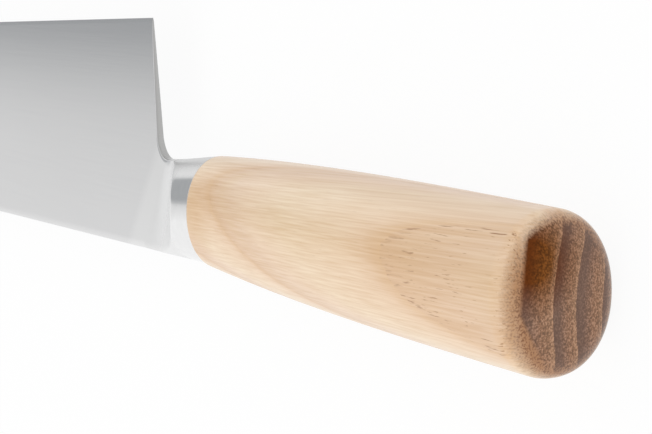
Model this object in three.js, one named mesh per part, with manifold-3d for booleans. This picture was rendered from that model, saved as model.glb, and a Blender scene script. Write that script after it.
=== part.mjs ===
// A gyuto, the Japanese chef's knife: a stainless blade with a hidden stick tang, a polished steel
// bolster and a one-piece oval wooden handle glued on round the tang.
// Millimetres. In the knife's own axes the joint between bolster and wood is x = 0 on the handle's
// axis, the tip points along +x, the spine lies towards +y, the edge towards -y, and the blade's
// middle plane is z = 0. The finished knife lies on one flank, with +z up.

import * as THREE from "three";
import { LoftGeometry } from "three/addons/geometries/LoftGeometry.js";
import { mergeVertices } from "three/addons/utils/BufferGeometryUtils.js";
import Module from "manifold-3d";

// Blade
const BLADE_LENGTH = 210; // heel to tip, along the spine
const HEEL_HEIGHT = 46.2; // spine to edge at the heel
const NECK_LENGTH = 30.5; // wood to heel, along the spine
const SPINE_OFFSET = 10.75; // spine above the handle's axis, over the heel
const BLADE_PITCH = 1.3; // degrees that the spine climbs away from the handle's axis
const SPINE_THICKNESS = 2.2; // at the heel
const TIP_THICKNESS = 1; // at the spine, where the taper ends
const EDGE_THICKNESS = 0.3; // behind the cutting edge
const EDGE_FLAT = 95; // straight run of the edge from the heel
const EDGE_RISE = 0.65; // how far that run closes in on the spine
const BELLY_REACH = 35; // how far the straight run's line guides the belly
const SPINE_FLAT = 120; // straight run of the spine from the heel
const SPINE_REACH = 35; // how far the straight run's line guides the drop to the tip
const TIP_DROP = 9; // tip below the line of the spine
const TIP_EDGE_ANGLE = 36; // degrees between the edge at the tip and the line of the spine
const TIP_EDGE_REACH = 45; // how far that angle guides the edge
const TIP_SPINE_ANGLE = 16; // degrees between the spine at the tip and its own line
const TIP_SPINE_REACH = 22; // how far that angle guides the spine

// Choil, neck and tang
const CHOIL_LEAN = 6.7; // degrees that the choil leans back from heel to neck
const CHOIL_RADIUS = 5;
const NECK_TAPER = 6.5; // degrees that the neck's edge side closes in from the wood
const PLUNGE_LENGTH = 10; // run over which the ground flanks swell to the tang's thickness
const TANG_LENGTH = 85; // inside the wood
const TANG_HEIGHT = 13; // where it enters the bolster
const TANG_END_HEIGHT = 8;

// Bolster
const COLLAR_LENGTH = 8.5; // plain oval collar, at the middle of the flank
const RAMP_EDGE_SETBACK = 3; // ramp ends this far behind the choil, on the edge side
const RAMP_SPINE_LEAD = 11; // ramp ends this far ahead of the choil, on the spine side
const RAMP_HOLLOW = 2.4; // power of the hollow-ground curve
const RAMP_LIP = 0.35; // thickness left where the ramp ends on the blade
const WELD_GAP = 0.15; // between the bolster's slot and the blade

// Handle
const HANDLE_LENGTH = 115;
const FRONT_HEIGHT = 21;
const SHOULDER_HEIGHT = 22.5;
const SHOULDER_AT = 17; // behind the bolster
const BELLY_HEIGHT = 24.2;
const BELLY_AT = 57.5; // behind the bolster
const BUTT_HEIGHT = 24;
const FRONT_THICKNESS = 14.3;
const BUTT_THICKNESS = 19.8;
const SWELL_LENGTH = 100; // run over which the thickness grows to that of the butt
const BUTT_ROUND = 5;
const OVAL_POWER = 2.1; // 2 is an ellipse, more is squarer

// Bore and glue
const GLUE_WALL = 1.6; // between tang and wood
const GLUE_GAP = 0.2; // between the glue and what it holds

// Facets
const OVAL_SIDES = 40;
const HANDLE_ROWS = 16;
const ROUND_ROWS = 6;
const RAMP_ROWS = 8;
const GRIND_ROWS = 24;
const ARC_SEGMENTS = 10;
const CUT_MARGIN = 1; // how far a cutting solid runs past what it cuts

const STEEL = { color: 0xc6c8ca, roughness: 0.32, metalness: 1 };
const POLISHED_STEEL = { color: 0xd0d2d4, roughness: 0.14, metalness: 1 };
const PALE_WOOD = { color: 0xe2c59c, roughness: 0.5, metalness: 0 };
const EPOXY = { color: 0xc9a566, roughness: 0.4, metalness: 0 };

const wasm = await Module();
wasm.setup();

const { degToRad, lerp } = THREE.MathUtils;

// A closed geometry as a solid that can be joined and cut, without the empty faces at a pole.
function solid(geometry) {
  const bare = new THREE.BufferGeometry();
  bare.setAttribute("position", geometry.getAttribute("position"));
  bare.setIndex(geometry.getIndex());
  const merged = mergeVertices(bare);
  const faces = [];
  for (let at = 0; at < merged.index.count; at += 3) {
    const face = [0, 1, 2].map((corner) => merged.index.getX(at + corner));
    if (new Set(face).size === 3) faces.push(...face);
  }
  return new wasm.Manifold(
    new wasm.Mesh({
      numProp: 3,
      vertProperties: merged.attributes.position.array,
      triVerts: new Uint32Array(faces),
    }),
  );
}

function namedMesh(name, body, finish) {
  const { vertProperties, triVerts } = body.getMesh();
  const geometry = new THREE.BufferGeometry();
  geometry.setAttribute("position", new THREE.BufferAttribute(vertProperties, 3));
  geometry.setIndex(new THREE.BufferAttribute(triVerts, 1));
  geometry.computeVertexNormals();
  const mesh = new THREE.Mesh(geometry, new THREE.MeshStandardMaterial(finish));
  mesh.name = name;
  return mesh;
}

// An outline in the plane of the blade, as a plate with its middle at z = 0.
function plate(outline, thickness) {
  const options = { depth: thickness, bevelEnabled: false, curveSegments: ARC_SEGMENTS };
  return new THREE.ExtrudeGeometry(outline, options).translate(0, 0, -thickness / 2);
}

// A polygon through the given points.
const polygon = (...points) => new THREE.Shape(points.map(([x, y]) => new THREE.Vector2(x, y)));

// Blade axes: u runs along the spine from above the heel, v from the spine towards the edge.
const pitch = degToRad(BLADE_PITCH);
const heelOnSpine = new THREE.Vector2(NECK_LENGTH, SPINE_OFFSET);

function bladePoint(u, v) {
  return new THREE.Vector2(u, -v).rotateAround(new THREE.Vector2(), pitch).add(heelOnSpine);
}

// The lines of the spine and of the neck's edge side, from the wood forward.
const spineY = (x) => SPINE_OFFSET + (x - NECK_LENGTH) * Math.tan(pitch);
const neckRun = Math.tan(degToRad(NECK_TAPER));
const neckY = (x) => x * neckRun - FRONT_HEIGHT / 2;

const heel = bladePoint(0, HEEL_HEIGHT);
const tip = bladePoint(BLADE_LENGTH, TIP_DROP);

// The edge, from the heel to the tip.
function edgePath() {
  const flatEnd = HEEL_HEIGHT - EDGE_RISE;
  const bend = bladePoint(EDGE_FLAT, flatEnd);
  const guide = bladePoint(
    EDGE_FLAT + BELLY_REACH,
    flatEnd - (EDGE_RISE * BELLY_REACH) / EDGE_FLAT,
  );
  const angle = degToRad(TIP_EDGE_ANGLE);
  const approach = bladePoint(
    BLADE_LENGTH - TIP_EDGE_REACH * Math.cos(angle),
    TIP_DROP + TIP_EDGE_REACH * Math.sin(angle),
  );
  const path = new THREE.Path().moveTo(heel.x, heel.y).lineTo(bend.x, bend.y);
  return path.bezierCurveTo(guide.x, guide.y, approach.x, approach.y, tip.x, tip.y);
}

// The spine, from the tip back to above the heel.
function spinePath() {
  const bend = bladePoint(SPINE_FLAT, 0);
  const guide = bladePoint(SPINE_FLAT + SPINE_REACH, 0);
  const angle = degToRad(TIP_SPINE_ANGLE);
  const leave = bladePoint(
    BLADE_LENGTH - TIP_SPINE_REACH * Math.cos(angle),
    TIP_DROP - TIP_SPINE_REACH * Math.sin(angle),
  );
  const path = new THREE.Path().moveTo(tip.x, tip.y);
  path.bezierCurveTo(leave.x, leave.y, guide.x, guide.y, bend.x, bend.y);
  return path.lineTo(heelOnSpine.x, heelOnSpine.y);
}

const edge = edgePath();
const spine = spinePath();

// The corner that the lines of the neck and the choil would make without the radius between them.
const choilRun = Math.tan(degToRad(CHOIL_LEAN));
const cornerX = (heel.x + choilRun * (heel.y + FRONT_HEIGHT / 2)) / (1 + choilRun * neckRun);
const choilCorner = new THREE.Vector2(cornerX, neckY(cornerX));

// Leads an outline from the neck round the choil's radius to the heel.
function addChoil(outline) {
  const toHeel = heel.clone().sub(choilCorner).normalize();
  const toWood = new THREE.Vector2(-1, -neckRun).normalize();
  const half = Math.acos(toHeel.dot(toWood)) / 2;
  const between = toHeel.clone().add(toWood).normalize();
  const centre = choilCorner.clone().addScaledVector(between, CHOIL_RADIUS / Math.sin(half));
  const run = CHOIL_RADIUS / Math.tan(half);
  const start = choilCorner.clone().addScaledVector(toWood, run).sub(centre);
  const end = choilCorner.clone().addScaledVector(toHeel, run).sub(centre);
  outline.absarc(centre.x, centre.y, CHOIL_RADIUS, start.angle(), end.angle(), true);
  outline.lineTo(heel.x, heel.y);
}

// Half the tang's height, a straight taper from the bolster to its end in the wood.
function tangHalf(x) {
  const share = (COLLAR_LENGTH - x) / (COLLAR_LENGTH + TANG_LENGTH);
  return lerp(TANG_HEIGHT, TANG_END_HEIGHT, share) / 2;
}

// The flat blank: tang, shoulders against the bolster, choil, heel, edge, tip and spine.
function blankOutline() {
  const shoulder = COLLAR_LENGTH;
  const outline = new THREE.Shape();
  outline.moveTo(-TANG_LENGTH, -tangHalf(-TANG_LENGTH));
  outline.lineTo(shoulder, -tangHalf(shoulder));
  outline.lineTo(shoulder, neckY(shoulder));
  addChoil(outline);
  outline.curves.push(...edge.curves, ...spine.curves);
  outline.currentPoint.copy(heelOnSpine);
  outline.lineTo(shoulder, spineY(shoulder));
  outline.lineTo(shoulder, tangHalf(shoulder));
  outline.lineTo(-TANG_LENGTH, tangHalf(-TANG_LENGTH));
  outline.closePath();
  return outline;
}

// One cross-section of the ground blade, a trapezium from over the spine to under the edge.
function groundSection(top, bottom, topHalf, bottomHalf) {
  return [
    new THREE.Vector3(top.x, top.y, -topHalf),
    new THREE.Vector3(top.x, top.y, topHalf),
    new THREE.Vector3(bottom.x, bottom.y, bottomHalf),
    new THREE.Vector3(bottom.x, bottom.y, -bottomHalf),
  ];
}

// The space between the grinding wheels: thick over the tang, then a wedge that thins to the tip.
function groundBlade() {
  const full = SPINE_THICKNESS / 2 + CUT_MARGIN;
  const edgeHalf = EDGE_THICKNESS / 2;
  const sections = [];
  for (const u of [-NECK_LENGTH - TANG_LENGTH - CUT_MARGIN, -PLUNGE_LENGTH]) {
    const top = bladePoint(u, -HEEL_HEIGHT);
    const bottom = bladePoint(u, HEEL_HEIGHT + CUT_MARGIN);
    sections.push(groundSection(top, bottom, full, full));
  }
  for (let row = 0; row < GRIND_ROWS; row += 1) {
    const share = row / GRIND_ROWS;
    const top = spine.getPoint(1 - share);
    const bottom = edge.getPoint(share);
    const spineHalf = lerp(SPINE_THICKNESS, TIP_THICKNESS, share) / 2;
    const past = CUT_MARGIN / top.distanceTo(bottom);
    sections.push(
      groundSection(
        top.clone().lerp(bottom, -past),
        bottom.clone().lerp(top, -past),
        lerp(spineHalf, edgeHalf, -past),
        lerp(edgeHalf, spineHalf, -past),
      ),
    );
  }
  const overTip = bladePoint(BLADE_LENGTH + CUT_MARGIN, TIP_DROP - CUT_MARGIN);
  const underTip = bladePoint(BLADE_LENGTH + CUT_MARGIN, TIP_DROP + CUT_MARGIN);
  sections.push(groundSection(overTip, underTip, edgeHalf, edgeHalf));
  return new LoftGeometry(sections, { capStart: true, capEnd: true });
}

function makeBlade() {
  const blank = solid(plate(blankOutline(), SPINE_THICKNESS));
  return namedMesh("blade", blank.intersect(solid(groundBlade())), STEEL);
}

// The oval of handle and bolster: each corner's share of the height, -1 to 1, and of the thickness.
function ovalCorners() {
  const corners = [];
  for (let side = 0; side < OVAL_SIDES; side += 1) {
    const angle = ((side + 0.5) / OVAL_SIDES) * 2 * Math.PI;
    const [across, out] = [Math.cos(angle), Math.sin(angle)].map(
      (part) => Math.sign(part) * Math.abs(part) ** (2 / OVAL_POWER),
    );
    corners.push({ across, out });
  }
  return corners;
}

const oval = ovalCorners();

function ovalSection(x, halfHeight, halfThickness) {
  return oval.map(
    ({ across, out }) => new THREE.Vector3(x, across * halfHeight, out * halfThickness),
  );
}

// The oval collar, then on each flank a hollow ramp down to the blade.
function bolsterBody() {
  const flank = FRONT_THICKNESS / 2;
  const bladeHalf = SPINE_THICKNESS / 2;
  const rampPoint = ({ across, out }, share) => {
    const rise = (across + 1) / 2;
    const end = choilCorner.x + lerp(-RAMP_EDGE_SETBACK, RAMP_SPINE_LEAD, rise);
    const x = lerp(COLLAR_LENGTH, end, share);
    const ramp = bladeHalf + (flank - bladeHalf) * (1 - share) ** RAMP_HOLLOW;
    const z = Math.sign(out) * Math.min(Math.abs(out) * flank, ramp);
    return new THREE.Vector3(x, lerp(neckY(x), spineY(x), rise), z);
  };
  // Where along the ramp a thickness is reached, from 0 at the collar to 1 on the blade.
  const shareAt = (half) => {
    const left = Math.max(half - bladeHalf, 0) / (flank - bladeHalf);
    return 1 - left ** (1 / RAMP_HOLLOW);
  };
  const lastShare = shareAt(bladeHalf + RAMP_LIP);
  const sections = [ovalSection(0, FRONT_HEIGHT / 2, flank)];
  for (let row = 0; row <= RAMP_ROWS; row += 1) {
    sections.push(
      oval.map((corner) => {
        const rim = Math.min(shareAt(Math.abs(corner.out) * flank), lastShare / 2);
        return rampPoint(corner, lerp(rim, lastShare, row / RAMP_ROWS));
      }),
    );
  }
  const front = sections.at(-1);
  const pole = new THREE.Vector3();
  front.forEach((point) => pole.addScaledVector(point, 1 / front.length));
  sections.push(front.map(() => pole));
  return new LoftGeometry(sections, { capStart: true });
}

// The slot in the bolster: the tang's height through the collar, full height ahead of it.
function bolsterSlot() {
  const back = -CUT_MARGIN;
  const step = COLLAR_LENGTH - WELD_GAP;
  const front = choilCorner.x + RAMP_SPINE_LEAD + CUT_MARGIN;
  const reach = FRONT_HEIGHT;
  const outline = polygon(
    [back, -tangHalf(back) - WELD_GAP],
    [step, -tangHalf(step) - WELD_GAP],
    [step, -reach],
    [front, -reach],
    [front, reach],
    [step, reach],
    [step, tangHalf(step) + WELD_GAP],
    [back, tangHalf(back) + WELD_GAP],
  );
  return plate(outline, SPINE_THICKNESS + 2 * WELD_GAP);
}

function makeBolster() {
  return namedMesh("bolster", solid(bolsterBody()).subtract(solid(bolsterSlot())), POLISHED_STEEL);
}

// Half the handle's thickness at a distance behind the bolster.
function handleHalfThickness(back) {
  const share = Math.sin((Math.min(back / SWELL_LENGTH, 1) * Math.PI) / 2);
  return lerp(FRONT_THICKNESS, BUTT_THICKNESS, share) / 2;
}

// The wooden oval, from the bolster back to the rounded butt.
function handleBody() {
  const roundStart = HANDLE_LENGTH - BUTT_ROUND;
  const side = new THREE.SplineCurve([
    new THREE.Vector2(0, FRONT_HEIGHT / 2),
    new THREE.Vector2(SHOULDER_AT, SHOULDER_HEIGHT / 2),
    new THREE.Vector2(BELLY_AT, BELLY_HEIGHT / 2),
    new THREE.Vector2(roundStart, BUTT_HEIGHT / 2),
  ]);
  const sections = [];
  for (const { x, y } of side.getPoints(HANDLE_ROWS)) {
    sections.push(ovalSection(-x, y, handleHalfThickness(x)));
  }
  for (let row = 1; row <= ROUND_ROWS; row += 1) {
    const turn = ((row / ROUND_ROWS) * Math.PI) / 2;
    const inset = BUTT_ROUND * (1 - Math.cos(turn));
    const back = roundStart + BUTT_ROUND * Math.sin(turn);
    const halfHeight = BUTT_HEIGHT / 2 - inset;
    sections.push(ovalSection(-back, halfHeight, handleHalfThickness(back) - inset));
  }
  return new LoftGeometry(sections.reverse(), { capStart: true, capEnd: true });
}

// A bar with round top and bottom, from a plane x = front back over a length.
function roundBar(front, length, height, width) {
  const radius = width / 2;
  const straight = height / 2 - radius;
  const outline = new THREE.Shape();
  outline.absarc(0, straight, radius, 0, Math.PI, false);
  outline.absarc(0, -straight, radius, Math.PI, 2 * Math.PI, false);
  outline.closePath();
  const options = { depth: length, bevelEnabled: false, curveSegments: ARC_SEGMENTS };
  return new THREE.ExtrudeGeometry(outline, options).rotateY(-Math.PI / 2).translate(front, 0, 0);
}

const boreDepth = TANG_LENGTH + GLUE_WALL;
const boreHeight = TANG_HEIGHT + 2 * GLUE_WALL;
const boreWidth = SPINE_THICKNESS + 2 * GLUE_WALL;

function makeHandle() {
  const bore = roundBar(CUT_MARGIN, boreDepth + CUT_MARGIN, boreHeight, boreWidth);
  return namedMesh("handle", solid(handleBody()).subtract(solid(bore)), PALE_WOOD);
}

// The glue fills the bore, and the tang leaves its own pocket in it.
function makeGlue() {
  const filling = roundBar(
    -GLUE_GAP,
    boreDepth - 2 * GLUE_GAP,
    boreHeight - 2 * GLUE_GAP,
    boreWidth - 2 * GLUE_GAP,
  );
  const end = -TANG_LENGTH - GLUE_GAP;
  const pocket = polygon(
    [end, -tangHalf(end) - GLUE_GAP],
    [CUT_MARGIN, -tangHalf(CUT_MARGIN) - GLUE_GAP],
    [CUT_MARGIN, tangHalf(CUT_MARGIN) + GLUE_GAP],
    [end, tangHalf(end) + GLUE_GAP],
  );
  const cut = plate(pocket, SPINE_THICKNESS + 2 * GLUE_GAP);
  return namedMesh("tang_adhesive", solid(filling).subtract(solid(cut)), EPOXY);
}

// The knife lies on one flank, with its origin under the middle of its outer box.
const knife = new THREE.Group();
knife.add(makeBlade(), makeBolster(), makeHandle(), makeGlue());
const box = new THREE.Box3().setFromObject(knife, true);
const middle = box.getCenter(new THREE.Vector3());
knife.position.set(-middle.x, -middle.y, -box.min.z);

const gyuto = new THREE.Group();
gyuto.add(knife);

export default gyuto;
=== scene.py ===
# %% [markdown]
# # A gyuto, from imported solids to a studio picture
# A gyuto is the chef's knife of a Japanese kitchen. This one has four parts: a steel blade that runs
# on as a hidden tang, a polished steel bolster, a wooden handle, and the glue that holds the tang.
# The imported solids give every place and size. This lesson models finer pieces round them, gives each
# its finish, and lights them as a product photographer would.

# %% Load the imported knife
import math

import bmesh
import bpy
import numpy
from mathutils import Matrix, Vector
from mathutils.geometry import interpolate_bezier


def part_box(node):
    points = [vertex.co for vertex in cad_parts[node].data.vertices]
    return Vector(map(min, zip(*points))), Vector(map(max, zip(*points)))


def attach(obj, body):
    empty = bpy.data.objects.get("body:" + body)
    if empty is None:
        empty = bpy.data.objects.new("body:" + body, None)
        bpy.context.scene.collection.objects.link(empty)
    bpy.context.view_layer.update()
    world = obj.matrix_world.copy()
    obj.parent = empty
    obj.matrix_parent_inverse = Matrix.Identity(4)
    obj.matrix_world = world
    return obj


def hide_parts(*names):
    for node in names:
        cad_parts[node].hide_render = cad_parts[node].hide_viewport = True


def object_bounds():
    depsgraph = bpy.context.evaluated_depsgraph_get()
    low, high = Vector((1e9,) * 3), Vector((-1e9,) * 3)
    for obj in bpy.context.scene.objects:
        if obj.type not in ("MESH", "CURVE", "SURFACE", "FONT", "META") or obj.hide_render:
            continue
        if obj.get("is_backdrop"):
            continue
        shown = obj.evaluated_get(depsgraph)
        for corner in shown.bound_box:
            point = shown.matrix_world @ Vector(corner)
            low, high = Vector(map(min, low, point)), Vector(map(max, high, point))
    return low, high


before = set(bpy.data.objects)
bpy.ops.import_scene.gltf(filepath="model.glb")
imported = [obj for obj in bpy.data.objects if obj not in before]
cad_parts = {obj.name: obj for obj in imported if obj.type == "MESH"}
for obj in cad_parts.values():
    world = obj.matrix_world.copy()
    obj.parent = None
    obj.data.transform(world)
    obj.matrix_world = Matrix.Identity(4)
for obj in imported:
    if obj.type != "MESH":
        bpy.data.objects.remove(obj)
cad_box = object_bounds()
print("packed nodes:", sorted(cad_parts))

# %% [markdown]
# ## The knife's own axes
# A knife maker measures from the joint where the bolster meets the wood. The handle's box gives that
# joint: its front end, on the middle of its height and thickness. From there x runs to the tip, y to
# the spine and z out of the near flank, all in metres, so real sizes can be written down directly.

# %% Find the joint of wood and steel
MM = 0.001
wood_low, wood_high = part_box("handle")
JOINT = Vector((wood_high.x, (wood_low.y + wood_high.y) / 2, (wood_low.z + wood_high.z) / 2))


def at(x, y, z):
    """A point given from the joint, as a point of the frame."""
    return JOINT + Vector((x, y, z))


print("joint of wood and steel at", [round(part / MM, 2) for part in JOINT], "mm")

# %% [markdown]
# ## The camera
# The picture is taken from behind the butt with a long lens, turned so that the edge is up. Blender's
# Track To constraint could aim the camera, but the roll matters here, so its three axes are worked
# out and put in a matrix. From this near, even a long lens shows the handle's strong taper.

# %% Place the camera
CAMERA_SWING = math.radians(27.1)  # off the knife's length, towards the near flank
CAMERA_DIP = math.radians(7.01)  # towards the edge side
CAMERA_ROLL = math.radians(-0.55)
CAMERA_DISTANCE = 346.9 * MM
AIM = at(-42.6 * MM, -3.58 * MM, 0)
LENS, SENSOR_WIDTH = 114.2, 36  # both in millimetres
NEAREST = 10 * MM  # what lies nearer to the camera is left out

back = Vector((
    -math.cos(CAMERA_SWING) * math.cos(CAMERA_DIP),
    -math.sin(CAMERA_DIP),
    math.sin(CAMERA_SWING) * math.cos(CAMERA_DIP),
))
side = back.cross(Vector((0, 1, 0))).normalized()
upright = Matrix((side, back.cross(side), back)).transposed()
camera_axes = upright @ Matrix.Rotation(CAMERA_ROLL, 3, "Z")

camera = bpy.data.objects.new("camera", bpy.data.cameras.new("camera"))
camera.data.sensor_width = SENSOR_WIDTH
camera.data.lens = LENS
camera.data.clip_start = NEAREST
camera.matrix_world = Matrix.Translation(AIM + back * CAMERA_DISTANCE) @ camera_axes.to_4x4()
bpy.context.scene.collection.objects.link(camera)
bpy.context.scene.camera = camera
print("camera at", [round(part / MM, 1) for part in camera.matrix_world.translation], "mm")

# %% [markdown]
# ## Rings that remember
# Handle and bolster are both ovals that change along the knife, so both grow ring by ring. A ring
# starts as Blender's own circle. Each of its vertices keeps its turn round the oval in a custom
# layer, and extruding copies that layer, so every new ring knows where each of its vertices belongs.

# %% Draw rings along the knife
OVAL_SIDES = 160
OVAL_POWER = 2.1  # 2 is an ellipse, more is squarer
MERGE = 0.0005 * MM  # points nearer than this become one


def oval(turn, power=OVAL_POWER):
    """Shares of the half height and half thickness at a turn, which is 0 at the spine."""
    parts = math.cos(turn), math.sin(turn)
    return [math.copysign(abs(part) ** (2 / power), part) for part in parts]


def first_ring(bm, placing):
    """Start a piece with a circle, put in place by a function of the turn. Returns its edges."""
    layer = bm.verts.layers.float.new("turn")
    for vert in bmesh.ops.create_circle(bm, segments=OVAL_SIDES, radius=1)["verts"]:
        vert[layer] = math.atan2(vert.co.y, vert.co.x)
        vert.co = placing(vert[layer])
    return bm.edges[:]


def next_ring(bm, edges, placing):
    """Extrude a ring and put the new one in place. Returns the new ring's edges."""
    layer = bm.verts.layers.float["turn"]
    drawn = bmesh.ops.extrude_edge_only(bm, edges=edges)["geom"]
    verts = {item for item in drawn if isinstance(item, bmesh.types.BMVert)}
    for vert in verts:
        vert.co = placing(vert[layer])
    new_edges = [item for item in drawn if isinstance(item, bmesh.types.BMEdge)]
    return [edge for edge in new_edges if verts.issuperset(edge.verts)]


def finish_piece(bm, name, node, crease):
    """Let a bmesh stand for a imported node. Edges that turn by more than crease degrees stay sharp."""
    bmesh.ops.remove_doubles(bm, verts=bm.verts[:], dist=MERGE)
    bmesh.ops.dissolve_degenerate(bm, edges=bm.edges[:], dist=MERGE)
    bmesh.ops.recalc_face_normals(bm, faces=bm.faces[:])
    open_edges = sum(not edge.is_manifold for edge in bm.edges)
    mesh = bpy.data.meshes.new(name)
    bm.to_mesh(mesh)
    bm.free()
    mesh.shade_smooth()
    mesh.set_sharp_from_angle(angle=math.radians(crease))
    piece = bpy.data.objects.new(name, mesh)
    bpy.context.scene.collection.objects.link(piece)
    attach(piece, "root")
    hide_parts(node)
    print(name, len(mesh.polygons), "faces,", open_edges, "open edges")
    return piece


print("rings of", OVAL_SIDES, "points")

# %% [markdown]
# ## The handle
# The handle is one stick of pale wood, turned and sanded oval, thickest at the butt, with a blind bore
# for the tang. It could be lathed with a spin, but it is no circle, so rings follow its measured
# heights instead. One chain of rings makes it: up the bore, out over the front face, back along the
# outside, and round the butt to a faint crown.

# %% Shape the handle
HANDLE_LENGTH = wood_high.x - wood_low.x
HANDLE_STATIONS = [0, 17 * MM, 57.5 * MM, 110 * MM]  # behind the joint
HANDLE_HEIGHTS = [21 * MM, 22.5 * MM, wood_high.y - wood_low.y, 24 * MM]
FRONT_THICKNESS = 14.3 * MM
BUTT_THICKNESS = wood_high.z - wood_low.z
SWELL_LENGTH = 100 * MM  # run over which the thickness grows to that of the butt
BUTT_ROUND = 5 * MM
BUTT_CROWN = 0.35 * MM
ARRIS = 0.08 * MM  # the sharp front corner, eased with fine paper
BORE_HEIGHT, BORE_END_HEIGHT, BORE_WIDTH, BORE_DEPTH = 15.8 * MM, 11 * MM, 5.4 * MM, 86.6 * MM
SQUARE = 8  # oval power of a slot with rounded corners
BODY_RINGS, RIM_RINGS, CROWN_RINGS = 80, 24, 8

height_curve = numpy.polyfit(HANDLE_STATIONS, HANDLE_HEIGHTS, 3)


def handle_ring(depth, inset=0):
    """The oval of the handle at a depth behind the joint, drawn in all round by an inset."""
    half_height = numpy.polyval(height_curve, min(depth, HANDLE_STATIONS[-1])) / 2 - inset
    swell = math.sin(math.pi / 2 * min(depth / SWELL_LENGTH, 1))
    half_thickness = (FRONT_THICKNESS + (BUTT_THICKNESS - FRONT_THICKNESS) * swell) / 2 - inset

    def placing(turn):
        across, out = oval(turn)
        return at(-depth, across * half_height, out * half_thickness)
    return placing


def slot_ring(x, height, width):
    """A slim slot with rounded corners, as the tang needs in wood and bolster."""
    def placing(turn):
        across, out = oval(turn, SQUARE)
        return at(x, across * height / 2, out * width / 2)
    return placing


def model_handle():
    """The wood, from the bottom of its bore to the middle of its butt."""
    bm = bmesh.new()
    ring = first_ring(bm, slot_ring(-BORE_DEPTH, BORE_END_HEIGHT, BORE_WIDTH))
    ring = next_ring(bm, ring, slot_ring(0, BORE_HEIGHT, BORE_WIDTH))
    ring = next_ring(bm, ring, handle_ring(0, ARRIS))
    for depth in numpy.linspace(ARRIS, HANDLE_LENGTH - BUTT_ROUND, BODY_RINGS):
        ring = next_ring(bm, ring, handle_ring(depth))
    round_depth = BUTT_ROUND - BUTT_CROWN
    for angle in numpy.linspace(0, math.pi / 2, RIM_RINGS + 1)[1:]:
        depth = HANDLE_LENGTH - BUTT_ROUND + round_depth * math.sin(angle)
        ring = next_ring(bm, ring, handle_ring(depth, BUTT_ROUND * (1 - math.cos(angle))))
    for share in numpy.linspace(0, 1, CROWN_RINGS + 1)[1:]:
        inset = BUTT_ROUND + share * (BUTT_THICKNESS / 2 - BUTT_ROUND - ARRIS)
        depth = HANDLE_LENGTH - BUTT_CROWN * (1 - share) ** 2
        ring = next_ring(bm, ring, handle_ring(depth, inset))
    bmesh.ops.holes_fill(bm, edges=[edge for edge in bm.edges if edge.is_boundary])
    return finish_piece(bm, "wood_handle", "handle", crease=40)


handle = model_handle()

# %% [markdown]
# ## Where the blade's flank lies
# The bolster's ramp runs out on the blade, so the blade's thickness comes first. The flank is ground
# from the spine to the edge, a straight wedge that turns convex near the edge, and it swells back to
# the full thickness of the tang behind the heel. Blade axes help: u along the spine from above the
# heel, v from the spine towards the edge.

# %% Measure the ground flank
BLADE_LENGTH, HEEL_HEIGHT = 210 * MM, 46.2 * MM
NECK_LENGTH, SPINE_OFFSET = 30.5 * MM, 10.75 * MM
PITCH = math.radians(1.3)  # the spine climbs away from the handle's axis
SPINE_THICKNESS, TIP_THICKNESS = 2.2 * MM, 1 * MM
TIP_THINNED = 0.7  # share of the spine's thickness that is ground off at the very tip
TIP_RUN = 15 * MM  # before the tip, over which that happens
EDGE_THICKNESS = 0.24 * MM  # behind the honed bevel
CONVEX = 0.3  # share of the grind that is taken near the edge
CONVEX_POWER = 6  # the higher, the nearer to the edge
PLUNGE_LENGTH = 12 * MM


def blade_point(u, v):
    """Blade axes to the knife's axes, in the plane of the blade."""
    return Vector((
        NECK_LENGTH + u * math.cos(PITCH) + v * math.sin(PITCH),
        SPINE_OFFSET + u * math.sin(PITCH) - v * math.cos(PITCH),
    ))


def blade_axes(x, y):
    """The knife's axes to blade axes."""
    x, y = x - NECK_LENGTH, y - SPINE_OFFSET
    return x * math.cos(PITCH) + y * math.sin(PITCH), x * math.sin(PITCH) - y * math.cos(PITCH)


def smooth(value, start, end):
    """0 before start, 1 after end, and between them an S-curve without kinks in its bend."""
    share = min(max((value - start) / (end - start), 0), 1)
    return share ** 3 * (10 - 15 * share + 6 * share ** 2)


def half_thickness(u, down):
    """Half the blade's thickness at u, a share down from the spine to the edge."""
    along = min(max(u / BLADE_LENGTH, 0), 1)
    spine = (SPINE_THICKNESS + (TIP_THICKNESS - SPINE_THICKNESS) * along) / 2
    spine *= 1 - TIP_THINNED * smooth(u, BLADE_LENGTH - TIP_RUN, BLADE_LENGTH)
    ground = (1 - CONVEX) * down + CONVEX * down ** CONVEX_POWER
    return spine - (spine - EDGE_THICKNESS / 2) * ground * smooth(u, -PLUNGE_LENGTH, 0)


print("thickness half way down at the heel: %.2f mm" % (2 * half_thickness(0, 0.5) / MM))

# %% [markdown]
# ## The bolster
# The bolster is a steel collar as oval as the wood, welded on and ground: on each flank a hollow ramp
# sweeps down to the blade. Where the wheel cuts the oval it leaves a rim, and buffing rounds it. A
# Boolean could cut that rim, but its ragged triangles spoil a mirror polish. So the surface is worked
# out instead: at each place it is the lower one of oval and ramp, blended across the rim.

# %% Lay out oval and ramp
COLLAR_LENGTH = 8.5 * MM
NECK_RUN = math.tan(math.radians(6.5))  # the neck's edge side closes in from the wood
CHOIL_CORNER = Vector((28.26 * MM, -7.48 * MM))  # where the lines of neck and choil cross
RAMP_END_EDGE, RAMP_END_SPINE = CHOIL_CORNER.x - 3 * MM, CHOIL_CORNER.x + 11 * MM
RAMP_HOLLOW = 2.4  # power of the hollow-ground curve
SINK, SINK_POWER = 0.03 * MM, 4  # the ramp's feather edge dips into the blade, so no step shows
RIM_BUFF = 0.9 * MM  # how far from the rim the buffing wheel rounds it
MOST_BUFFED = 0.25  # of the ramp's height, where the steel gets thin
FLANK = FRONT_THICKNESS / 2


def spine_y(x):
    """The line of the spine."""
    return SPINE_OFFSET + (x - NECK_LENGTH) * math.tan(PITCH)


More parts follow.
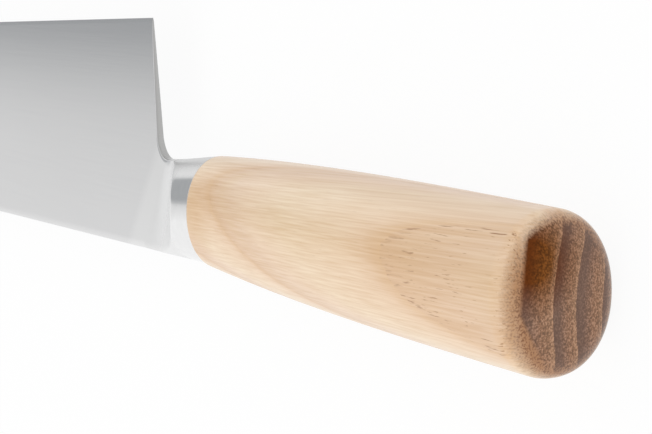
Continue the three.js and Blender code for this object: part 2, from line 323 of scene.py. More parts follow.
def neck_y(x):
    """The line of the neck's edge side."""
    return x * NECK_RUN - HANDLE_HEIGHTS[0] / 2


def oval_out(across):
    """The oval's share of the half thickness at a share of its half height."""
    return max(1 - abs(across) ** OVAL_POWER, 0) ** (1 / OVAL_POWER)


def ramp_height(across, share):
    """Where the ramp's surface lies at a share of its way, as x, y and its height over the middle."""
    rise = (across + 1) / 2
    end = RAMP_END_EDGE + (RAMP_END_SPINE - RAMP_END_EDGE) * rise
    x = COLLAR_LENGTH + (end - COLLAR_LENGTH) * share
    y = neck_y(x) + (spine_y(x) - neck_y(x)) * rise
    u, v = blade_axes(x, y)
    blade = half_thickness(u, v / HEEL_HEIGHT)
    sink = SINK * max(share, 0) ** SINK_POWER
    return x, y, blade + (FLANK - blade) * (1 - share) ** RAMP_HOLLOW - sink


def bolster_point(across, share):
    """A point of the bolster: the lower one of oval and ramp, with their rim buffed round."""
    x, y, ramp = ramp_height(across, share)
    crown = oval_out(across) * FLANK
    buff = min(RIM_BUFF, MOST_BUFFED * ramp)
    near = min(max(0.5 + (ramp - crown) / (2 * buff), 0), 1)
    return x, y, ramp + (crown - ramp) * near - buff * near * (1 - near)


ramp_runs = [round((end - COLLAR_LENGTH) / MM, 1) for end in (RAMP_END_EDGE, RAMP_END_SPINE)]
print("ramp runs", ramp_runs, "mm from the collar, on the edge and the spine side")

# %% [markdown]
# ## Growing the bolster
# A mirror polish shows every kink, so a row of vertices must lie along the rim. Each ring is split in
# two runs that meet there: the crown keeps to the oval, and the flank follows the ramp. The chain of
# rings starts inside, at the ramp's thin end. It runs back through the slot for the tang, out over the
# rear face, and forward over collar and ramp to where it began.

# %% Shape the bolster
COLLAR_ARRIS = 0.04 * MM
SLOT_HEIGHT, SLOT_WIDTH = 13.3 * MM, SPINE_THICKNESS
FEATHER = 0.05 * MM  # thickness of the ramp's end
QUARTER = OVAL_SIDES // 4
CROWN_SIDES = 26  # of a quarter, the rest lie on the ramp
WIDEST_RIM = 0.9 * math.pi / 2  # turn of the rim where the ramp has not cut the oval yet
HALVINGS = 40  # of the range in which the rim is sought
COLLAR_RINGS, RAMP_RINGS = 6, 68
RAMP_RUNUP = 2 * MM  # plain rings stop this far before the ramp
FIRST_STEP = -0.2  # the ramp's rings start a little behind it, and crowd where it starts


def rim_turn(share):
    """The turn, from the spine, at which the ramp cuts the oval at this share of its length."""
    low, high = 0, math.pi / 2
    for _ in range(HALVINGS):
        turn = (low + high) / 2
        across, out = oval(turn)
        if out * FLANK < ramp_height(across, share)[2]:
            low = turn
        else:
            high = turn
    return low


def across_at(turn, rim):
    """Share of the half height at a turn. CROWN_SIDES of each quarter lie beyond the rim's turn."""
    step = abs(turn) / (math.pi / 2) * QUARTER  # 0 at the spine, twice a quarter at the neck
    from_end = min(step, 2 * QUARTER - step)
    if from_end <= CROWN_SIDES:
        across = oval(rim * from_end / CROWN_SIDES)[0]
    else:
        across = oval(rim)[0] * (QUARTER - from_end) / (QUARTER - CROWN_SIDES)
    return across if step <= QUARTER else -across


def ramp_ring(share):
    """The crown from the spine to the rim, then the ramp's flank, alike on all four quarters."""
    rim = min(rim_turn(share), WIDEST_RIM)

    def placing(turn):
        x, y, z = bolster_point(across_at(turn, rim), share)
        return at(x, y, math.copysign(z, turn))
    return placing


def drawn_in(placing, by):
    """The same ring, a little nearer to the blade's middle plane."""
    def nearer(turn):
        point = placing(turn)
        point.z -= math.copysign(by, turn)
        return point
    return nearer


def collar_ring(x, inset=0):
    """The plain oval of the collar, which keeps to the lines of spine and neck."""
    middle, half = (spine_y(x) + neck_y(x)) / 2, (spine_y(x) - neck_y(x)) / 2

    def placing(turn):
        across = across_at(turn, WIDEST_RIM)
        out = math.copysign(oval_out(across), turn)
        return at(x, middle + across * (half - inset), out * (FLANK - inset))
    return placing


def model_bolster():
    """The steel collar with its two ramps."""
    bm = bmesh.new()
    inner_end = ring = first_ring(bm, drawn_in(ramp_ring(1), FEATHER))
    ring = next_ring(bm, ring, slot_ring(COLLAR_LENGTH, SLOT_HEIGHT, SLOT_WIDTH))
    ring = next_ring(bm, ring, slot_ring(0, SLOT_HEIGHT, SLOT_WIDTH))
    ring = next_ring(bm, ring, collar_ring(0, COLLAR_ARRIS))
    for x in numpy.linspace(COLLAR_ARRIS, COLLAR_LENGTH - RAMP_RUNUP, COLLAR_RINGS):
        ring = next_ring(bm, ring, collar_ring(x))
    for step in numpy.linspace(FIRST_STEP, 1, RAMP_RINGS):
        ring = next_ring(bm, ring, ramp_ring(step * abs(step)))
    bmesh.ops.bridge_loops(bm, edges=inner_end + ring)
    return finish_piece(bm, "steel_bolster", "bolster", crease=40)


bolster = model_bolster()

# %% [markdown]
# ## The blade's outline
# The blade is one piece of stainless steel. Two lines bound it, both from the collar to the tip: the
# spine above, and neck, choil and edge below. Curve objects could draw them, but the flank needs as
# many points on one line as on the other. So Blender's own function gives the points of each curve,
# and they are spread evenly into columns, each with one end on either line.

# %% Draw the blade's outline
EDGE_FLAT, EDGE_RISE, BELLY_REACH = 95 * MM, 0.65 * MM, 35 * MM
SPINE_FLAT, SPINE_REACH = 120 * MM, 35 * MM
TIP_DROP = 9 * MM
TIP_EDGE_ANGLE, TIP_EDGE_REACH = math.radians(36), 45 * MM
TIP_SPINE_ANGLE, TIP_SPINE_REACH = math.radians(16), 22 * MM
CHOIL_RADIUS = 5 * MM
CURVE_STEPS, ARC_STEPS = 80, 24

heel = blade_point(0, HEEL_HEIGHT)
tip = blade_point(BLADE_LENGTH, TIP_DROP)
flat_end = HEEL_HEIGHT - EDGE_RISE
edge_curve = interpolate_bezier(
    blade_point(EDGE_FLAT, flat_end),
    blade_point(EDGE_FLAT + BELLY_REACH, flat_end - EDGE_RISE * BELLY_REACH / EDGE_FLAT),
    blade_point(
        BLADE_LENGTH - TIP_EDGE_REACH * math.cos(TIP_EDGE_ANGLE),
        TIP_DROP + TIP_EDGE_REACH * math.sin(TIP_EDGE_ANGLE),
    ),
    tip,
    CURVE_STEPS,
)
spine_curve = interpolate_bezier(
    blade_point(SPINE_FLAT, 0),
    blade_point(SPINE_FLAT + SPINE_REACH, 0),
    blade_point(
        BLADE_LENGTH - TIP_SPINE_REACH * math.cos(TIP_SPINE_ANGLE),
        TIP_DROP - TIP_SPINE_REACH * math.sin(TIP_SPINE_ANGLE),
    ),
    tip,
    CURVE_STEPS,
)


def choil_curve():
    """The neck's edge side from the collar, round the choil's radius, to the heel."""
    to_heel = (heel - CHOIL_CORNER).normalized()
    to_wood = Vector((-1, -NECK_RUN)).normalized()
    half = to_heel.angle(to_wood) / 2
    centre = CHOIL_CORNER + (to_heel + to_wood).normalized() * CHOIL_RADIUS / math.sin(half)
    start = CHOIL_CORNER + to_wood * CHOIL_RADIUS / math.tan(half) - centre
    sweep = math.pi - 2 * half
    turns = [Matrix.Rotation(-sweep * step / ARC_STEPS, 2) for step in range(ARC_STEPS + 1)]
    arc = [centre + turn @ start for turn in turns]
    return [Vector((COLLAR_LENGTH, neck_y(COLLAR_LENGTH))), *arc, heel]


def evenly(points, steps):
    """The same line with its points at even distances."""
    points = numpy.array([point[:] for point in points])
    reach = numpy.cumsum(numpy.linalg.norm(numpy.diff(points, axis=0, prepend=points[:1]), axis=1))
    wanted = numpy.linspace(0, reach[-1], steps + 1)
    return [Vector(pair) for pair in zip(*(numpy.interp(wanted, reach, part) for part in points.T))]


REAR_COLUMNS, FRONT_COLUMNS = 70, 150
lower_line = evenly(choil_curve(), REAR_COLUMNS)[:-1] + evenly([heel, *edge_curve], FRONT_COLUMNS)
over_choil = [point.x - HEEL_HEIGHT * math.sin(PITCH) for point in lower_line[:REAR_COLUMNS]]
upper_line = [Vector((x, spine_y(x))) for x in over_choil]
upper_line += evenly([blade_point(0, 0), *spine_curve], FRONT_COLUMNS)
print("blade outline:", len(lower_line), "points from neck to tip, on each side")

# %% [markdown]
# ## The tang
# Behind the neck the steel runs on as a stick tang, hidden in the handle. It could be a piece of its
# own, but on the real knife blade and tang are one piece of steel. So its two ends join the outline as
# two more columns.

# %% Add the tang behind the outline
TANG_LENGTH, TANG_HEIGHT, TANG_END_HEIGHT = 85 * MM, 13 * MM, 8 * MM
SHOULDER = 0.1 * MM  # depth of the step from neck to tang

tang = [(SHOULDER - TANG_LENGTH, TANG_END_HEIGHT / 2), (upper_line[0].x - SHOULDER, TANG_HEIGHT / 2)]
upper_line = [Vector((x, half)) for x, half in tang] + upper_line
lower_line = [Vector((x, -half)) for x, half in tang] + lower_line
heel_column = len(tang) + REAR_COLUMNS
print("tang", round(TANG_LENGTH / MM), "mm behind the joint, heel at column", heel_column)

# %% [markdown]
# ## The flank
# A grid is the plainest start for a sheet whose rows and columns both mean something. Each vertex asks
# for its place by its column and row: first between the two lines of the outline, inside the eased
# corners, then out to the ground flank. The last row is the honed bevel, which closes to a keen edge.

# %% Bend a grid to the flank
COLUMNS, ROWS = len(lower_line) - 1, 48
HONED = 0.6 * MM  # width of the honed bevel at the edge
KEEN = 0.02 * MM  # thickness of the edge itself
MOST_HONED = 0.3  # of a column's length, where the tip gets short
ROW_CROWD = 1.4  # rows lie closer towards the edge
TIP_MERGE = 0.001 * MM  # the last columns meet at the tip, where points nearer than this become one
EASED, CHOIL_EASED = 0.2 * MM, 0.4 * MM  # radius on the corners of the spine, and of the choil
CHOIL_RUN = 12 * MM, 17 * MM  # below the spine, where the one radius turns into the other
CHOIL_FADE = 0.08  # a radius is at most this share of the way to the sharp heel
MOST_EASED = 0.8  # of half the thickness, where the steel gets thin
TUCK = 0.06 * MM  # spine and neck lie this far inside the bolster
SPINE_OUT = RAMP_END_SPINE - 3 * MM, RAMP_END_SPINE  # where the spine comes out of it
NECK_OUT = RAMP_END_EDGE - 4 * MM, RAMP_END_EDGE - 2 * MM  # where the neck comes out of it


def eased_radius(place):
    """The radius on the corner of the blade's border at a place: wider round the choil."""
    u, v = blade_axes(*place)
    radius = EASED + (CHOIL_EASED - EASED) * smooth(v, *CHOIL_RUN)
    to_heel = max(HEEL_HEIGHT - v, 0)
    half = half_thickness(u, min(max(v / HEEL_HEIGHT, 0), 1))
    return min(radius, CHOIL_FADE * to_heel, MOST_EASED * half)


def flank_ends(column):
    """Where a column starts at the spine and ends below, inside the eased corners."""
    top, bottom = upper_line[column].copy(), lower_line[column].copy()
    top.y -= EASED + TUCK * (1 - smooth(top.x, *SPINE_OUT))
    bottom.y += TUCK * (1 - smooth(bottom.x, *NECK_OUT))
    if column < heel_column:
        run = lower_line[column + 1] - lower_line[max(column - 1, 0)]
        bottom += Vector((-run.y, run.x)).normalized() * eased_radius(bottom)
    return top, bottom


def flank_point(column, row):
    """A point of the near flank. Columns run from the tang to the tip, rows from spine to edge."""
    top, bottom = flank_ends(column)
    length = (bottom - top).length
    last = min(HONED / length, MOST_HONED)
    share = 1 if row == ROWS else (1 - last) * (1 - (1 - row / (ROWS - 1)) ** ROW_CROWD)
    place = top.lerp(bottom, share)
    if column == COLUMNS:
        return at(*tip, KEEN / 2)
    if column >= heel_column and row == ROWS:
        return at(*place, KEEN / 2)
    u, v = blade_axes(*place)
    spine, edge = 0, HEEL_HEIGHT
    if column >= heel_column:
        spine, edge = (blade_axes(*line[column])[1] for line in (upper_line, lower_line))
    return at(*place, half_thickness(u, min(max((v - spine) / (edge - spine), 0), 1)))


def bend_flank(bm):
    """Start the blade with a grid, and put each of its vertices on the near flank."""
    bmesh.ops.create_grid(bm, x_segments=COLUMNS, y_segments=ROWS, size=1)
    for vert in bm.verts:
        column, row = (vert.co.x + 1) / 2 * COLUMNS, (vert.co.y + 1) / 2 * ROWS
        vert.co = flank_point(round(column), round(row))
    bmesh.ops.remove_doubles(bm, verts=bm.verts[:], dist=TIP_MERGE)


print("flank of", COLUMNS, "columns and", ROWS, "rows")

# %% [markdown]
# ## Two flanks make a blade
# A Mirror modifier would give the far flank. Here the border between the two is bridged afterwards, so
# the copy is turned over in the mesh itself. Before that each border vertex notes which way is out.
# The bridge's own vertices take that note over, and it tells them where to round spine and choil.

# %% Mirror the flank and close the blade
EASE_STEPS = 3  # facets of each eased corner


def note_border(bm):
    """Store on each border vertex which way is out of the blade, and how thick it is there."""
    out_layer = bm.verts.layers.float_vector.new("out")
    half_layer = bm.verts.layers.float.new("half")
    for vert in bm.verts:
        if vert.is_boundary:
            inward = Vector()
            for face in vert.link_faces:
                inward += face.calc_center_median() - vert.co
            rim = [edge.other_vert(vert).co for edge in vert.link_edges if edge.is_boundary]
            along = (rim[1] - rim[0]).normalized()
            out = along * inward.dot(along) - inward
            out.z = 0
            vert[out_layer] = out.normalized()
            vert[half_layer] = vert.co.z - JOINT.z
    return out_layer, half_layer


def model_blade():
    """The steel from the tang's end to the tip, with spine and choil rounded for the fingers."""
    bm = bmesh.new()
    bend_flank(bm)
    out_layer, half_layer = note_border(bm)
    far = bmesh.ops.duplicate(bm, geom=bm.verts[:] + bm.edges[:] + bm.faces[:])["geom"]
    far = [item for item in far if isinstance(item, bmesh.types.BMVert)]
    bmesh.ops.scale(bm, verts=far, vec=(1, 1, -1), space=Matrix.Translation(-JOINT))
    walls = bmesh.ops.bridge_loops(bm, edges=[edge for edge in bm.edges if edge.is_boundary])
    cuts = 2 * EASE_STEPS + 1
    rows = bmesh.ops.subdivide_edges(bm, edges=walls["edges"], cuts=cuts, use_grid_fill=True)
    for vert in [item for item in rows["geom_inner"] if isinstance(item, bmesh.types.BMVert)]:
        half = vert[half_layer]
        height = (vert.co.z - JOINT.z) / half
        step = round((1 - abs(height)) * (EASE_STEPS + 1))
        angle = min(step / EASE_STEPS, 1) * math.pi / 2
        radius = min(eased_radius((vert.co - JOINT).xy), MOST_EASED * half)
        level = 0 if step > EASE_STEPS else half - radius + radius * math.cos(angle)
        vert.co.z = JOINT.z + math.copysign(level, height)
        vert.co += vert[out_layer] * radius * math.sin(angle)
    return finish_piece(bm, "steel_blade", "blade", crease=35)


blade = model_blade()

# %% [markdown]
# ## Colours and nodes
# Colours are written as sRGB hex, the way a colour picker shows them, and shaders want linear light.
# One function turns one into the other. Another adds a node with its settings, its sockets' values
# and its links in one call, so that each material below reads from top to bottom.

# %% Helpers for finishes


def linear(hex_colour):
    """An sRGB hex colour as linear RGBA."""
    parts = [int(hex_colour[place:place + 2], 16) / 255 for place in (1, 3, 5)]
    return [part / 12.92 if part <= 0.04045 else ((part + 0.055) / 1.055) ** 2.4 for part in parts] + [1]


def add_node(tree, kind, inputs=(), stops=(), **settings):
    """Add a node. Inputs give a socket a value or a link, stops are the (place, colour) of a ramp."""
    node = tree.nodes.new("ShaderNode" + kind)
    for name, value in settings.items():
        setattr(node, name, value)
    for socket, value in dict(inputs).items():
        if isinstance(value, bpy.types.NodeSocket):
            tree.links.new(value, node.inputs[socket])
        else:
            node.inputs[socket].default_value = value
    for index, (place, colour) in enumerate(stops):
        elements = node.color_ramp.elements
        element = elements[index] if index < 2 else elements.new(place)
        element.position, element.color = place, linear(colour)
    return node


def new_finish(name):
    """An empty material with a principled shader, and coordinates in millimetres from the joint."""
    material = bpy.data.materials.new(name)
    material.use_nodes = True
    tree = material.node_tree
    tree.nodes.clear()
    shader = add_node(tree, "BsdfPrincipled")
    add_node(tree, "OutputMaterial", {"Surface": shader.outputs[0]})
    place = add_node(tree, "TexCoord").outputs["Object"]
    per_mm = 1 / MM
    from_joint = {"Vector": place, "Location": -JOINT * per_mm, "Scale": [per_mm] * 3}
    return material, tree, shader, add_node(tree, "Mapping", from_joint).outputs[0]


print("a middle grey in linear light:", [round(part, 3) for part in linear("#808080")])

# %% [markdown]
# ## Pale ring-porous wood
# The stick looks like ash or chestnut: wood that starts each year with a row of wide pores and ends it
# dense. The year rings are nearly flat here, because the stick was cut far from the pith, so the flank
# shows long arches and the butt shows stripes. A flat picture could not do both. The pattern is solid
# instead: rings round a far pith, and pores that are long along the grain, cut by any surface.

# %% Count the year rings
PITH = Vector((0, 6.2, -20.7))  # millimetres from the joint, below the far flank
GRAIN_LEAN = (0, math.radians(3.55), math.radians(-2.29))  # turns the fibres' way to the x axis
RING_RADII = [10.5, 14.7, 18.8, 21.6, 26.4, 30.1, 35.5, 55]  # where each year starts
RING_SPAN = 60  # the curve's range of radii
YEARS = len(RING_RADII)
WANDER, RAGGED = 0.08, 0.06  # how far rings stray over the stick, and from fibre to fibre
WANDER_CELL, RAGGED_CELL = (45, 12, 12), (9, 0.8, 0.8)
SPREAD = 2  # widens a noise, which keeps to the middle half of its range


def grain_noise(tree, grain, cell, detail):
    """A noise with cells of so many millimetres along the grain, along the rings and through them."""
    per_mm = [1 / size for size in cell]
    cells = add_node(tree, "Mapping", {"Vector": grain, "Scale": per_mm}).outputs[0]
    return add_node(tree, "TexNoise", {"Vector": cells, "Scale": 1, "Detail": detail}).outputs[0]


def year_rings(tree, grain):
    """The distance from the pith, and the season: 0 where a year starts, 1 where it ends."""
    from_pith = add_node(tree, "VectorMath", {0: grain, 1: PITH}, operation="SUBTRACT").outputs[0]
    across = add_node(tree, "VectorMath", {0: from_pith, 1: (0, 1, 1)}, operation="MULTIPLY").outputs[0]
    radius = add_node(tree, "VectorMath", {0: across}, operation="LENGTH").outputs["Value"]
    for cell, reach in ((WANDER_CELL, WANDER), (RAGGED_CELL, RAGGED)):
        noise = grain_noise(tree, grain, cell, 2)
        reach *= SPREAD
        stray = add_node(tree, "MapRange", {"Value": noise, 3: -reach, 4: reach}).outputs[0]
        radius = add_node(tree, "Math", {0: radius, 1: stray}, operation="ADD").outputs[0]
    share = add_node(tree, "Math", {0: radius, 1: RING_SPAN}, operation="DIVIDE").outputs[0]
    years = add_node(tree, "FloatCurve", {"Value": share})
    for year, first in enumerate(RING_RADII):
        point = years.mapping.curves[0].points.new(first / RING_SPAN, (year + 1) / (YEARS + 1))
        point.handle_type = "VECTOR"
    years.mapping.update()
    count = add_node(tree, "Math", {0: years.outputs[0], 1: YEARS + 1}, operation="MULTIPLY").outputs[0]
    return radius, add_node(tree, "Math", {0: count}, operation="FRACT").outputs[0]


print(YEARS, "years, the widest of them in sight %.1f mm" % max(numpy.diff(RING_RADII[:-1])))

# %% [markdown]
# ## Colour of the flank
# Sanded along the grain, the flank shows cream wood with a tan line where each year starts, fine
# streaks of fibres, and dark dashes where wide pores are cut open, most of them towards the butt.
# Painted shade and sheen lie over that: darker at the edge-side silhouette, lighter in a band below it,
# and darker down the middle and on the spine side. A spot on the near flank by the joint is darker. All
# this could be painted on a UV map, but it would not fit the rings. So each layer is a tone that darkens
# the one before it, and season and place say how much of it shows.

# %% Colour the flank
EARLY_LINE, CREAM, CUT_PORE = "#E6C7A7", "#F5E2C8", "#A67C58"
SHADE_SHEEN_REACH = 12.5  # millimetres to each side of the middle, over which the painted shade and sheen run
JOINT_SPOT = Vector((-3, 0, 7))  # a spot on the near flank by the joint, where the wood is darker
JOINT_SPOT_REACH, JOINT_SPOT_TONE = (10, 2), "#F3E8DA"  # first trace and full tone, in millimetres
PORE_ROW = 0.005, 0.05  # seasons between which a year's row of wide pores ends
PORE_LEVELS = 0.555, 0.66  # the noise is a pore above this level: in that row, and after it
PORE_FULL = 0.7  # level at which a pore is as dark as it gets
BARE_FROM = -70, -95  # millimetres along the stick over which pores open towards the butt
FILLED, FINE = 0.15, 0.1  # how much shows of pores full of finish, and of the fine ones
FINE_FROM = 0.03, 0.12  # seasons between which wide pores give way to fine ones


def cut_pores(tree, along, season, pore):
    """How much of a dark dash shows at a place along the stick."""
    level = add_node(tree, "MapRange", {
        "Value": season, 1: PORE_ROW[0], 2: PORE_ROW[1], 3: PORE_LEVELS[0], 4: PORE_LEVELS[1],
    }).outputs[0]
    bare = add_node(tree, "MapRange", {
        "Value": along, 1: BARE_FROM[0], 2: BARE_FROM[1], 3: FILLED,
    }).outputs[0]
    wide = add_node(tree, "MapRange", {
        "Value": season, 1: FINE_FROM[0], 2: FINE_FROM[1], 3: bare, 4: FINE,
    }).outputs[0]
    return add_node(tree, "MapRange", {"Value": pore, 1: level, 2: PORE_FULL, 4: wide}).outputs[0]


def flank_colour(tree, place, season, fibre, pore):
    """Cream with tan year lines, fine streaks, painted shade and sheen, a darker spot, and cut pores."""
    rings = add_node(tree, "ValToRGB", {"Fac": season}, stops=[
        (0, EARLY_LINE), (1, "#E8C9A6"), (0.03, "#E8CBAC"), (0.06, "#EACFB4"), (0.1, "#ECD3B7"),
        (0.16, "#EED6BE"), (0.27, "#F3DDC5"), (0.5, CREAM), (0.82, "#F4DEC4"), (0.93, "#EFD5B9"),
    ])
    streaks = add_node(tree, "ValToRGB", {"Fac": fibre}, stops=[(0.3, "#F1E8DC"), (0.7, "#FFFFFF")])
    along, across, _ = add_node(tree, "SeparateXYZ", {0: place}).outputs
    # painted shade and sheen: darker at the edge-side silhouette, a lighter band below it, darker down the
    # middle
    side = add_node(tree, "MapRange", {"Value": across, 1: -SHADE_SHEEN_REACH, 2: SHADE_SHEEN_REACH})
    painted_shade_and_sheen = add_node(tree, "ValToRGB", {"Fac": side.outputs[0]}, stops=[
        (0.02, "#F2EBE6"), (0.6, "#F5F0EA"), (0.1, "#F8F4F1"), (0.13, "#FDFCFB"), (0.17, "#FFFFFF"),
        (0.4, "#F4EEE4"),
    ])
    # a darker spot on the near flank next to the joint
    far = add_node(tree, "VectorMath", {0: place, 1: JOINT_SPOT}, operation="DISTANCE").outputs["Value"]
    spot_share = add_node(tree, "MapRange", {"Value": far, 1: JOINT_SPOT_REACH[0], 2: JOINT_SPOT_REACH[1]}).outputs[0]
    face = rings.outputs[0]
    for share, tone in ((1, streaks.outputs[0]), (1, painted_shade_and_sheen.outputs[0]), (spot_share, linear(JOINT_SPOT_TONE))):
        layer = {0: share, 6: face, 7: tone}
        face = add_node(tree, "Mix", layer, data_type="RGBA", blend_type="MULTIPLY").outputs[2]
    dash = cut_pores(tree, along, season, pore)
    return add_node(tree, "Mix", {0: dash, 6: face, 7: linear(CUT_PORE)}, data_type="RGBA").outputs[2]


print("a year's first line is %.2f as blue as its cream" % (linear(EARLY_LINE)[2] / linear(CREAM)[2]))

# %% [markdown]
# ## Oil in the butt
# End grain drinks. Oil has crept in from the butt along the pores: it tans the rim, turns the inner
# rings brown, and where it stood in a pool it dried nearly black. A picture of the stain could be
# projected on the butt, but it would smear over the rounded rim. So the stain goes by the depth from
# the joint, single pores carry it further, and its tones follow the same rings as the flank.

# %% Mix the tones of the oil
TAN, POOL_TAN = "#A87B57", "#9E6A40"
DOT, POOL_DOT = "#835A3E", "#704521"
DOT_LEVELS = 0.36, 0.52  # the noise's levels from a dark dot to plain tan
SPECK_LEVELS, SPECK_LIGHT = (0.34, 0.66), (0.58, 1.38)  # its levels in the brown, and their brightness
DRY_LEVEL, DRY_SHARE, DRY_TONE = 0.52, 0.28, "#BF9C86"  # fibre ends that the oil left pale
CALM_FROM, CALM_SHARE = (0.5, 0.8), 0.4  # seasons over which the specks fade, and what stays of them


def oil_tones(tree, pool, season, speck):
    """The dotted tan of the first trace, and the mottled brown of soaked rings, black in the pool."""
    tan = add_node(tree, "Mix", {0: pool, 6: linear(TAN), 7: linear(POOL_TAN)}, data_type="RGBA")
    dot = add_node(tree, "Mix", {0: pool, 6: linear(DOT), 7: linear(POOL_DOT)}, data_type="RGBA")
    clear = add_node(tree, "MapRange", {"Value": speck, 1: DOT_LEVELS[0], 2: DOT_LEVELS[1]}).outputs[0]
    dotted = add_node(tree, "Mix", {0: clear, 6: dot.outputs[2], 7: tan.outputs[2]}, data_type="RGBA")
    brown = add_node(tree, "ValToRGB", {"Fac": season}, stops=[
        (0, "#AA8061"), (1, "#6B4E3E"), (0.06, "#A0785A"), (0.15, "#916A4D"), (0.35, "#8F674B"),
        (0.75, "#6F5141"),
    ])
    black = add_node(tree, "ValToRGB", {"Fac": season}, stops=[
        (0, "#8B6042"), (1, "#5C2D0E"), (0.06, "#83593A"), (0.15, "#774922"), (0.4, "#704119"),
        (0.75, "#5F2F0D"),
    ])
    core = add_node(tree, "Mix", {
        0: pool, 6: brown.outputs[0], 7: black.outputs[0],
    }, data_type="RGBA").outputs[2]
    light = add_node(tree, "MapRange", {
        "Value": speck, 1: SPECK_LEVELS[0], 2: SPECK_LEVELS[1], 3: SPECK_LIGHT[0], 4: SPECK_LIGHT[1],
    }).outputs[0]
    mottled = add_node(tree, "VectorMath", {0: core, "Scale": light}, operation="SCALE").outputs[0]
    fresh = add_node(tree, "MapRange", {"Value": pool, 3: DRY_SHARE, 4: 0}).outputs[0]
    dry = add_node(tree, "MapRange", {
        "Value": speck, 1: DRY_LEVEL, 2: SPECK_LEVELS[1], 4: fresh,
    }).outputs[0]
    mottled = add_node(tree, "Mix", {0: dry, 6: mottled, 7: linear(DRY_TONE)}, data_type="RGBA").outputs[2]
    calm = add_node(tree, "MapRange", {
        "Value": season, 1: CALM_FROM[0], 2: CALM_FROM[1], 3: 1, 4: CALM_SHARE,
    }).outputs[0]
    core = add_node(tree, "Mix", {0: calm, 6: core, 7: mottled}, data_type="RGBA").outputs[2]
    return dotted.outputs[2], core


print("the oil's tan is %.2f as red as the cream" % (linear(TAN)[0] / linear(CREAM)[0]))

# %% [markdown]
# ## How far the oil crept
# Two marks bound the stain. The tide is where the tan ends on the flank, and it lies askew, because the
# oil ran down to one side. The brown ends deeper in, and also at a year ring that stopped it. Map Range
# nodes turn the distance past each mark into a share from 0 to 1.

# %% Colour the oiled butt
OIL_POOL = Vector((-114.5, -5.4, 5.6))  # the middle of the pool, in millimetres from the joint
POOL_REACH = 8.5, 3  # millimetres from that middle: first trace, full tone
OIL_CORE = 34.8, 31.8  # rings within these radii turned brown, on the edge and the spine side
CORE_SIDES = 2, 9  # millimetres towards the spine over which one radius turns into the other
CORE_BORDER = 0.3, -0.3  # millimetres beyond that radius: first trace, full tone
TIDE_LEAN = Vector((0, 0.04, -0.14))  # the tide line lies nearer to the butt on the near flank
TAN_DEPTH, DARK_DEPTH = (110.7, 113.3), (112.8, 114)  # from the joint: first trace, full tone
POOL_DEPTH = 113.5  # full tone at the pool, where the border is crisp
STRAY, POOL_STRAY = 0.6, 0.25  # how far single pores carry the oil, and how far at the pool


def oil_marks(tree, place, pool, radius, speck):
    """The shares of tan and of brown at a place."""
    along, across, _ = add_node(tree, "SeparateXYZ", {0: place}).outputs
    carry = add_node(tree, "MapRange", {"Value": pool, 3: STRAY, 4: POOL_STRAY}).outputs[0]
    either = add_node(tree, "MapRange", {"Value": speck, 3: 1, 4: -1}).outputs[0]
    stray = add_node(tree, "Math", {0: either, 1: carry}, operation="MULTIPLY").outputs[0]
    depth = add_node(tree, "Math", {0: stray, 1: along}, operation="SUBTRACT").outputs[0]
    lean = add_node(tree, "VectorMath", {0: place, 1: TIDE_LEAN}, operation="DOT_PRODUCT")
    tide = add_node(tree, "Math", {0: depth, 1: lean.outputs["Value"]}, operation="ADD").outputs[0]
    soaked = add_node(tree, "MapRange", {"Value": tide, 1: TAN_DEPTH[0], 2: TAN_DEPTH[1]}).outputs[0]
    full = add_node(tree, "MapRange", {"Value": pool, 3: DARK_DEPTH[1], 4: POOL_DEPTH}).outputs[0]
    deep = add_node(tree, "MapRange", {"Value": depth, 1: DARK_DEPTH[0], 2: full}).outputs[0]
    border = add_node(tree, "MapRange", {
        "Value": across, 1: CORE_SIDES[0], 2: CORE_SIDES[1], 3: OIL_CORE[0], 4: OIL_CORE[1],
    }).outputs[0]
    beyond = add_node(tree, "Math", {0: radius, 1: border}, operation="SUBTRACT").outputs[0]
    inside = add_node(tree, "MapRange", {
        "Value": beyond, 1: CORE_BORDER[0], 2: CORE_BORDER[1], 4: deep,
    }).outputs[0]
    return soaked, inside


def butt_colour(tree, face, place, radius, season, speck):
    """Oil-soaked end grain over the flank's colour. Also returns where the pool dulls the finish."""
    far = add_node(tree, "VectorMath", {0: place, 1: OIL_POOL}, operation="DISTANCE").outputs["Value"]
    pool = add_node(tree, "MapRange", {"Value": far, 1: POOL_REACH[0], 2: POOL_REACH[1]}).outputs[0]
    tan, core = oil_tones(tree, pool, season, speck)
    soaked, inside = oil_marks(tree, place, pool, radius, speck)
    stained = add_node(tree, "Mix", {0: soaked, 6: face, 7: tan}, data_type="RGBA").outputs[2]
    colour = add_node(tree, "Mix", {0: inside, 6: stained, 7: core}, data_type="RGBA").outputs[2]
    return colour, add_node(tree, "Math", {0: pool, 1: inside}, operation="MULTIPLY").outputs[0]


print("oil shows from %.1f mm before the end of the butt" % (HANDLE_LENGTH / MM - TAN_DEPTH[0]))

# %% [markdown]
# ## The wood as one material
# One principled shader carries it all. Three noises, stretched along the grain, stand for fibres, wide
# pores and the cut ends of fibres. Bump sinks the pores a little. A clear coat gives the soft satin of
# an oiled and rubbed handle, and the pool on the butt has none, because there the oil dried dull.

# %% Make the wood
FIBRE, PORE, SPECK = (60, 0.32, 0.9), (6, 0.28, 0.28), (4, 0.3, 0.22)  # cells of the noises
RUBBED = 0.36, 0.5  # roughness from fibre to fibre
PORE_SINK, SANDED = -0.4, 0.04 * MM  # pores against fibres, and how deep sanding leaves them
RELIEF = 0.2  # how much of that depth shows
COAT, COAT_ROUGH = 0.7, 0.25
BARE_GLOSS = 0.05  # of the wood under its coat


